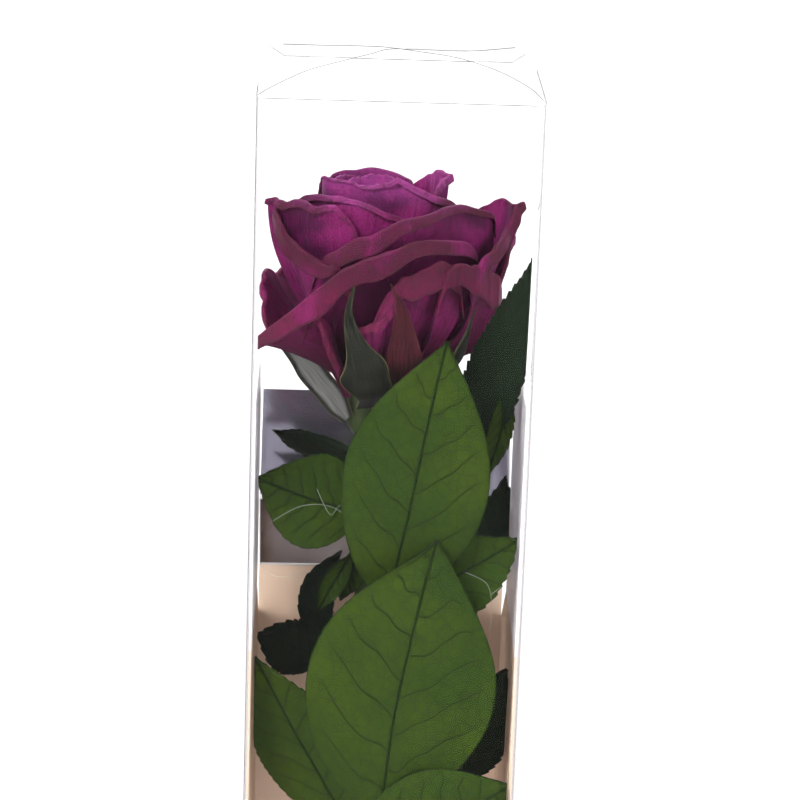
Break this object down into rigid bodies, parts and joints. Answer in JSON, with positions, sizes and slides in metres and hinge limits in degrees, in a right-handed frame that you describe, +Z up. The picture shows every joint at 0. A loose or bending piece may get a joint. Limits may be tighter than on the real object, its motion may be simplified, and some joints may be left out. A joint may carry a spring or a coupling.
{
  "type": "preserved rose in gift case",
  "caption": "Magenta-purple preserved rose on its leafy stem, upright in a tall square clear film gift case with crossed lid flaps and a folded mirror card behind it.",
  "frame": {"origin": "the middle of the underside of the case, on the surface it stands on", "axes": "+Z up along the stem, the front of the case looks along -Y, +X to the viewer's right"},
  "size_m": [0.07, 0.07, 0.4136],
  "materials": {
    "case_film": "thin clear colourless plastic film, glossy, with bright folded edges",
    "mirror_card": "metallised card, blurred mirror reflections, silvery lavender to champagne",
    "petals": "velvety preserved petals, magenta-purple with maroon rolled rims and fine veins",
    "sepals": "dark green preserved sepals with a silvery inner side",
    "dried_sepal": "reddish brown dried sepal",
    "leaves": "satin yellow-green preserved leaves with fine dark veins and dark edges",
    "leaves_dark": "blackish green leaf undersides, satin",
    "stem": "woody olive green stem and leaf stalks"
  },
  "bodies": {
    "root": {"clear_case": "case_film", "mirror_card": "mirror_card", "petal_heart": "petals", "petal_swirl_1": "petals", "petal_swirl_2": "petals", "petal_swirl_3": "petals", "petal_cup_front": "petals", "petal_cup_back": "petals", "petal_top_right": "petals", "petal_upper_left": "petals", "petal_back_inner": "petals", "petal_left_inner": "petals", "petal_diagonal_upper": "petals", "petal_left_flap": "petals", "petal_back_left": "petals", "petal_right_tall": "petals", "petal_diagonal_lower": "petals", "petal_back_right": "petals", "petal_left_hollow": "petals", "petal_right_low": "petals", "petal_front_low": "petals", "petal_right_fold": "petals", "petal_front_curl": "petals", "petal_guard_left": "petals", "petal_back_low": "petals", "petal_back_right_low": "petals", "stem": "stem", "sepal_front": "sepals", "sepal_left": "sepals", "sepal_dried": "dried_sepal", "sepal_right": "sepals", "sepal_back": "sepals", "stalk_upper": "stem", "stalk_middle": "stem", "stalk_lower": "stem", "stalk_right": "stem", "stalk_left": "stem", "leaflet_front_upper": "leaves", "leaflet_front_middle": "leaves", "leaflet_front_lower": "leaves", "leaflet_left_upper": "leaves", "leaflet_left_dark": "leaves_dark", "leaflet_right_upper": "leaves_dark", "leaflet_right_pale": "leaves", "leaflet_right_back": "leaves_dark", "leaflet_right_middle": "leaves", "leaflet_small_front": "leaves", "leaflet_small_back": "leaves", "leaflet_left_shade": "leaves_dark", "leaflet_left_serrate": "leaves_dark", "leaflet_left_lower": "leaves", "leaflet_right_shade": "leaves_dark", "leaflet_left_low": "leaves", "leaflet_right_low": "leaves", "leaflet_back": "leaves_dark"}
  },
  "joints": []
}
